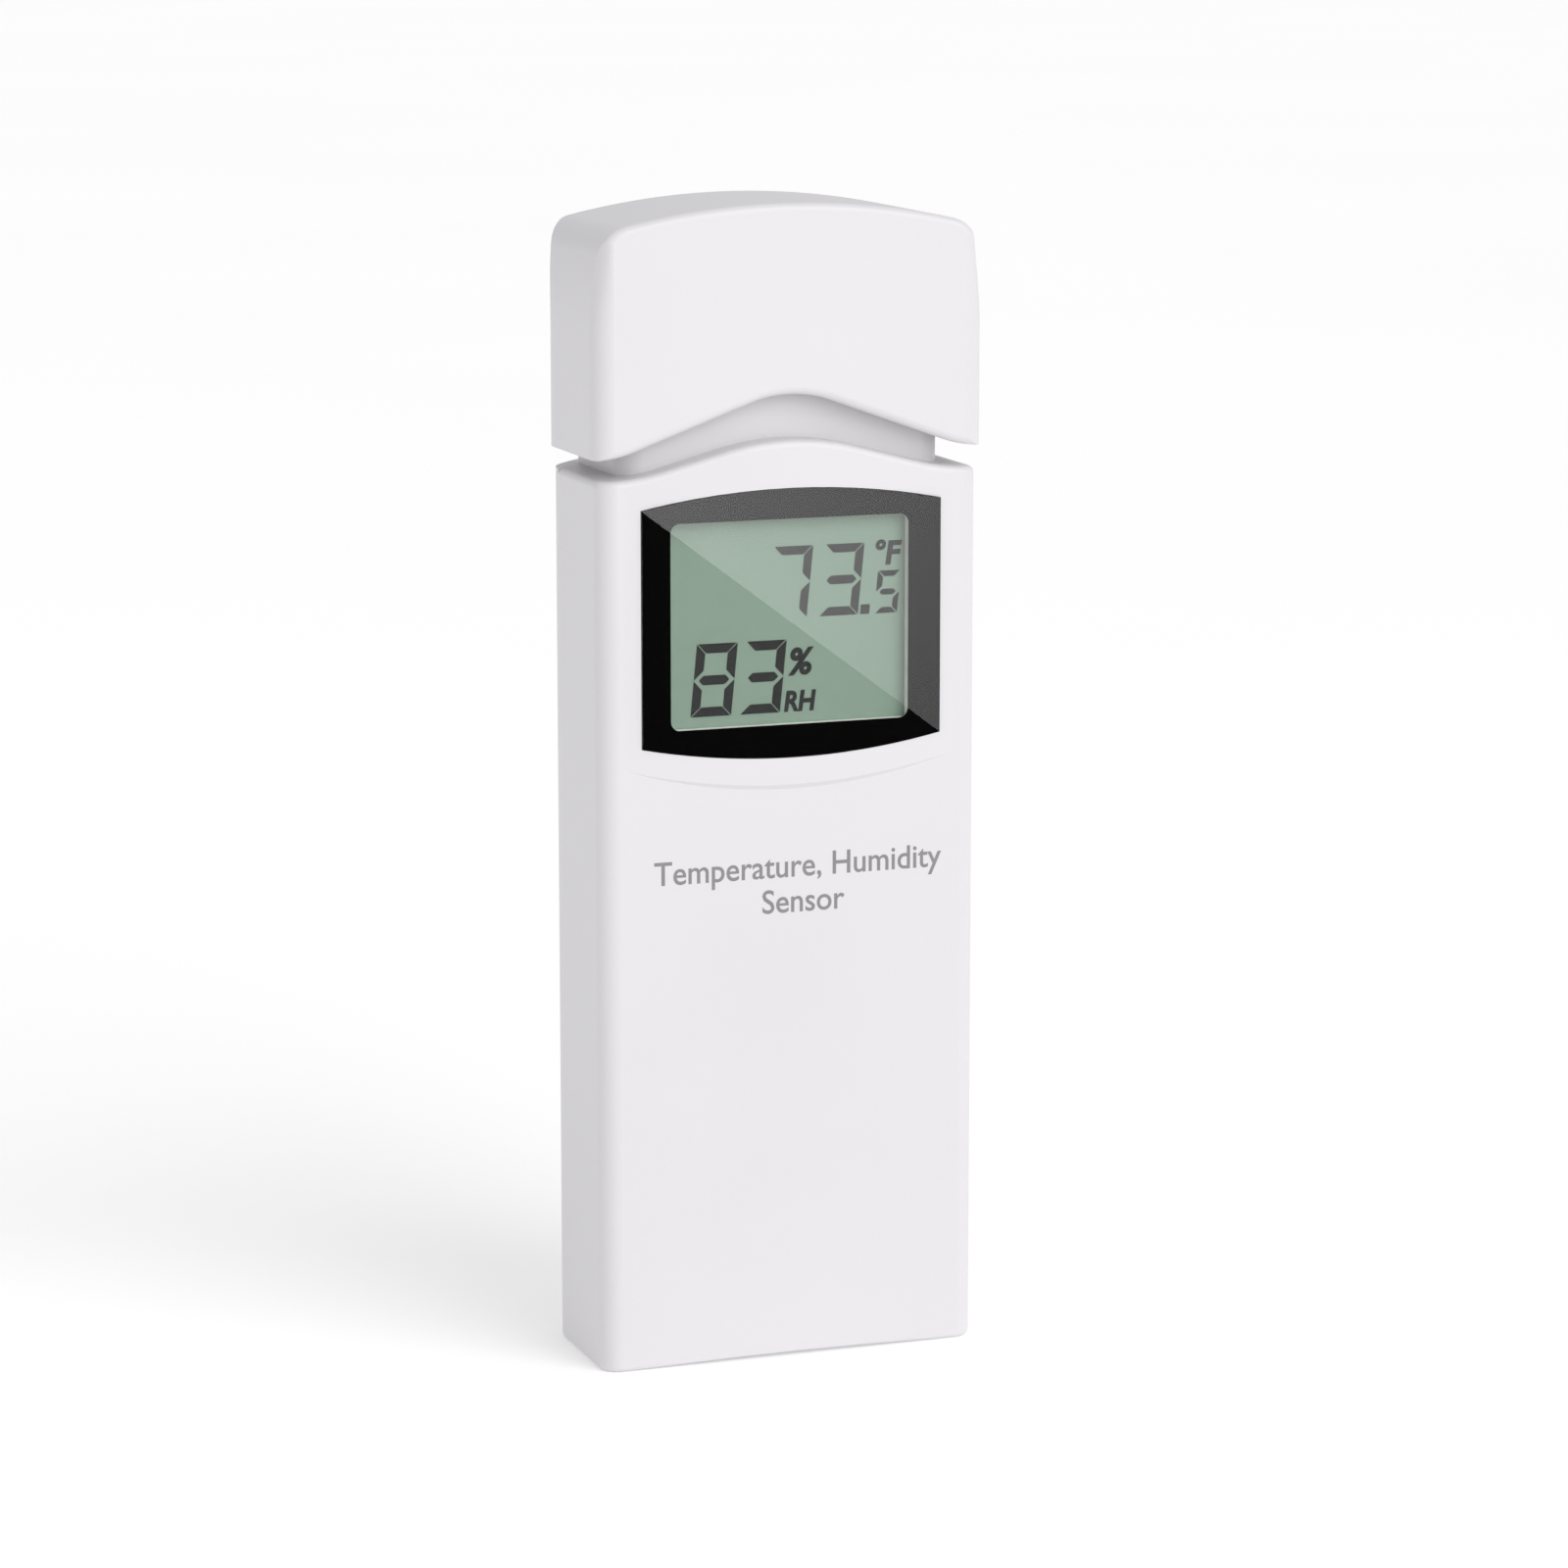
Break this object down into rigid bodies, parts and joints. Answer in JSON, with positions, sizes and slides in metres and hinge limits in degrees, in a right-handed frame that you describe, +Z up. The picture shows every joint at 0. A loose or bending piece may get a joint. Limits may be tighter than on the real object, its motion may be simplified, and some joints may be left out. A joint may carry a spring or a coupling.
{
  "type": "wireless thermo-hygrometer sensor",
  "caption": "Slim upright wireless temperature and humidity sensor with a display window, a sheltered neck under a bell-edged rain hood, and a sliding battery door at the back.",
  "frame": {"origin": "middle of the footprint, on the surface the case stands on", "axes": "+X to the right of someone reading the display, +Y back towards the wall, +Z up"},
  "size_m": [0.042, 0.019, 0.12],
  "materials": {
    "case_white": "fine satin moulding",
    "clear_lens": "clear polished acrylic",
    "black_ink": "gloss black screen print",
    "black_foam": "closed-cell foam",
    "lcd": "reflective display glass with dark digits",
    "reflector": "satin foil",
    "frame_plastic": "moulded",
    "elastomer": "banded silicone",
    "circuit_board": "solder mask",
    "resin": "cured resin",
    "tinned": "tinned",
    "capacitor_sleeve": "shrink sleeve",
    "gold_plate": "plated",
    "copper": "enamelled wire",
    "switch_body": "moulded",
    "lever": "moulded",
    "button": "moulded",
    "cell_jacket": "printed jacket",
    "contact": "nickel plated",
    "red_sleeve": "wire insulation",
    "black_sleeve": "wire insulation",
    "sensor_cap": "vented cap",
    "mesh": "woven",
    "screw_steel": "zinc plated"
  },
  "bodies": {
    "case": {"front_shell": "case_white", "back_shell": "case_white", "hood": "case_white", "display_window": "clear_lens", "window_mask": "black_ink", "display_gasket": "black_foam", "lcd_glass": "lcd", "lcd_reflector": "reflector", "lcd_frame": "frame_plastic", "lcd_strip_bottom": "elastomer", "lcd_strip_top": "elastomer", "main_board": "circuit_board", "controller_blob": "resin", "clock_crystal": "tinned", "capacitors": "capacitor_sleeve", "module_pins": "gold_plate", "radio_module": "circuit_board", "radio_parts": "tinned", "antenna_coil": "copper", "dip_switch": "switch_body", "reset_switch": "tinned", "cell_left": "cell_jacket", "cell_right": "cell_jacket", "bridge_contact": "contact", "positive_contact": "contact", "negative_contact": "contact", "cell_spring_left": "contact", "cell_spring_right": "contact", "lead_red": "red_sleeve", "lead_black": "black_sleeve", "sensor_board": "circuit_board", "humidity_sensor": "sensor_cap", "temperature_bead": "resin", "sensor_pins": "gold_plate", "vent_mesh_left": "mesh", "vent_mesh_right": "mesh", "case_screws": "screw_steel", "hood_screws": "screw_steel", "board_screws": "screw_steel"},
    "door": {"battery_door": "case_white"},
    "reset_button": {"reset_plunger": "button"},
    "dip_lever_1": {"dip_lever_1": "lever"},
    "dip_lever_2": {"dip_lever_2": "lever"},
    "dip_lever_3": {"dip_lever_3": "lever"},
    "dip_lever_4": {"dip_lever_4": "lever"}
  },
  "joints": [
    {"name": "battery_door_slide", "type": "slide", "parent": "case", "child": "door", "axis": [0, 0, -1], "range_m": [0, 0.074]},
    {"name": "dip_lever_1_slide", "type": "slide", "parent": "case", "child": "dip_lever_1", "axis": [0, 0, 1], "range_m": [0, 0.0015]},
    {"name": "dip_lever_2_slide", "type": "slide", "parent": "case", "child": "dip_lever_2", "axis": [0, 0, 1], "range_m": [0, 0.0015]},
    {"name": "dip_lever_3_slide", "type": "slide", "parent": "case", "child": "dip_lever_3", "axis": [0, 0, 1], "range_m": [-0.0015, 0]},
    {"name": "dip_lever_4_slide", "type": "slide", "parent": "case", "child": "dip_lever_4", "axis": [0, 0, 1], "range_m": [-0.0015, 0]},
    {"name": "reset_press", "type": "slide", "parent": "case", "child": "reset_button", "axis": [0, -1, 0], "range_m": [0, 0.0004], "stiffness_N_per_m": 1000}
  ]
}
